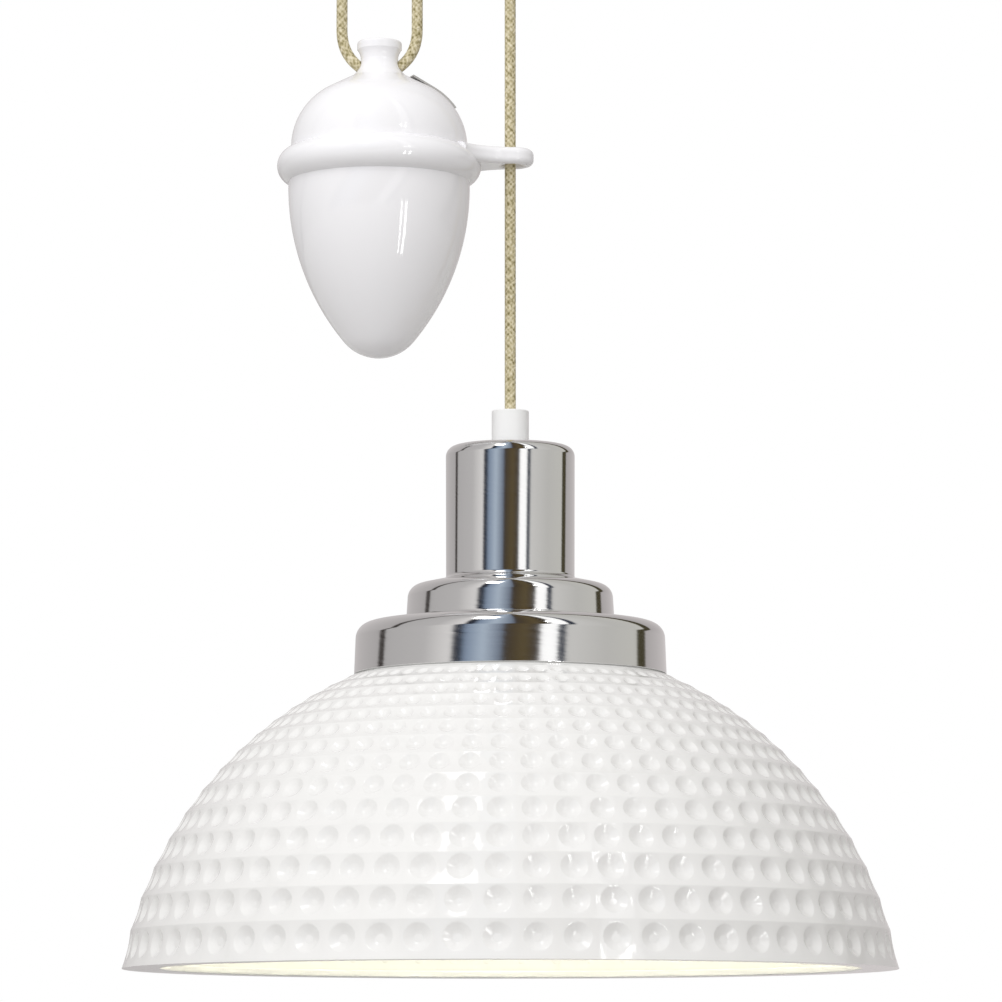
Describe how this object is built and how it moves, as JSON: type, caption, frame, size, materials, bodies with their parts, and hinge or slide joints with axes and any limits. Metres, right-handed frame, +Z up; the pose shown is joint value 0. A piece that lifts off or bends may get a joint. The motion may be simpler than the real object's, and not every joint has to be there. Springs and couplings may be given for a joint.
{
  "type": "rise and fall pendant lamp",
  "caption": "Ceiling pendant whose dimpled bowl shade hangs on a braided cord that runs over a pulley to an egg-shaped counterweight with a guide ring",
  "frame": {"origin": "middle of the ceiling plate's upper face, against the ceiling", "axes": "+Z up into the ceiling, +X from the counterweight to the lamp, +Y to the back"},
  "size_m": [0.3706, 0.3706, 0.65],
  "materials": {
    "plate_steel": "satin",
    "white_metal": "gloss",
    "bright_steel": "satin",
    "yoke_steel": "gloss",
    "white_plastic": "gloss",
    "brass": "satin",
    "weight_glaze": "gloss",
    "shade_glaze": "gloss",
    "gallery_metal": "polished",
    "ballast_iron": "matte",
    "rubber": "matte",
    "tag_metal": "satin",
    "holder_ceramic": "matte",
    "bulb_glass": "gloss",
    "bulb_metal": "satin",
    "braided_cord": "matte"
  },
  "bodies": {
    "ceiling": {"ceiling_plate": "plate_steel", "ceiling_rose": "white_metal", "rose_screws": "bright_steel", "pulley_stem": "bright_steel", "stem_nuts": "bright_steel", "pulley_yoke": "yoke_steel", "pulley_axle": "yoke_steel", "axle_clip": "bright_steel", "rose_cord_grip": "white_plastic", "grip_nut": "bright_steel", "terminal_block": "white_plastic", "rose_cord_tail": "braided_cord", "cord_fixed_run": "braided_cord", "cord_return_run": "braided_cord", "cord_pulley_turn": "braided_cord", "cord_lamp_run": "braided_cord"},
    "pulley": {"ceiling_pulley": "white_plastic", "pulley_bush": "brass"},
    "weight": {"weight_egg": "weight_glaze", "weight_cap": "weight_glaze", "weight_seal": "rubber", "weight_ballast": "ballast_iron", "weight_tie_rod": "bright_steel", "cap_insert": "brass", "ballast_washer": "bright_steel", "ballast_nut": "bright_steel", "weight_tag": "tag_metal", "cord_weight_loop": "braided_cord"},
    "lamp": {"shade": "shade_glaze", "gallery": "gallery_metal", "lamp_cord_grip": "white_plastic", "threaded_nipple": "bright_steel", "nipple_nut": "bright_steel", "lampholder_cap": "white_plastic", "lampholder_body": "white_plastic", "contact_block": "holder_ceramic", "centre_contact": "brass", "screw_shell": "brass", "lower_shade_ring": "white_plastic", "upper_shade_ring": "white_plastic", "shade_carrier": "bright_steel", "lower_gasket": "rubber", "upper_gasket": "rubber", "bulb_cap": "bulb_metal", "bulb_glass": "bulb_glass", "lamp_cord_tail": "braided_cord"}
  },
  "joints": [
    {"name": "lamp_travel", "type": "slide", "parent": "ceiling", "child": "lamp", "axis": [0, 0, 1], "range_m": [-0.14, 0.04], "deforming": ["cord_lamp_run"]},
    {"name": "weight_travel", "type": "slide", "parent": "ceiling", "child": "weight", "axis": [0, 0, 1], "range_m": [-0.021, 0.071], "deforming": ["cord_fixed_run", "cord_return_run"]},
    {"name": "pulley_spin", "type": "hinge", "parent": "ceiling", "child": "pulley", "pos_m": [0.01875, 0, -0.078], "axis": [0, -1, 0], "range_deg": [-354, 102]}
  ],
  "couplings": [
    {"joint": "weight_travel", "follows": "lamp_travel", "ratio": -0.5},
    {"joint": "pulley_spin", "follows": "lamp_travel", "rad_per_m": 43.956}
  ]
}
